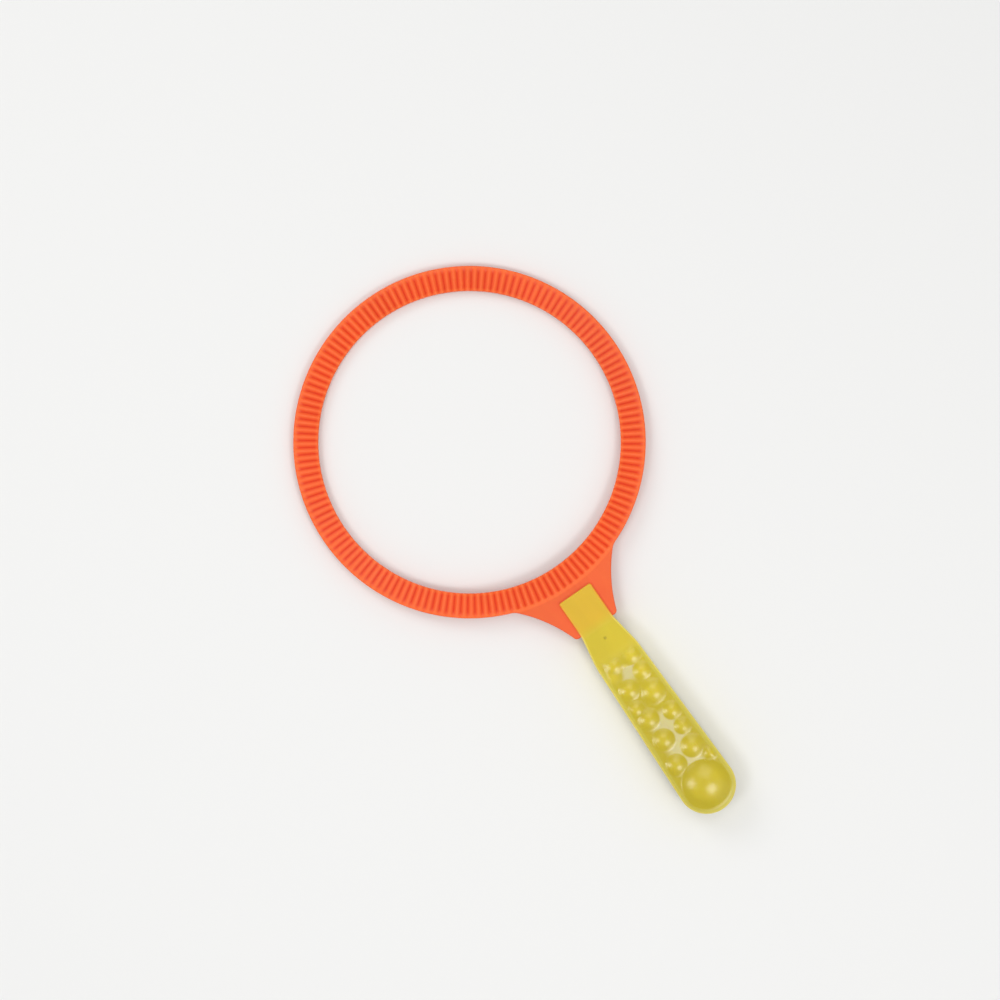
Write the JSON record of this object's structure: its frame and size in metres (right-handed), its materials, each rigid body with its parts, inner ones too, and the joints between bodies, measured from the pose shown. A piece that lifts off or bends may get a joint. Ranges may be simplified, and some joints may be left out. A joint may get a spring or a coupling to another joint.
{
  "type": "bubble wand",
  "caption": "Large ring bubble wand: a ribbed flat ring on a flared web, clamped between the two halves of a hollow handle with bubble relief.",
  "frame": {"origin": "under the middle of the wand, level with the lowest point of the handle's back", "axes": "+Y along the wand towards the ring, +Z out of the wand's front face, +X to the right when the front is seen with the ring up"},
  "size_m": [0.17, 0.2994, 0.0201],
  "materials": {
    "orange_plastic": "satin opaque polypropylene",
    "yellow_plastic": "glossy, slightly translucent polypropylene"
  },
  "bodies": {
    "root": {"ring_head": "orange_plastic", "handle_front": "yellow_plastic", "handle_back": "yellow_plastic"}
  },
  "joints": []
}
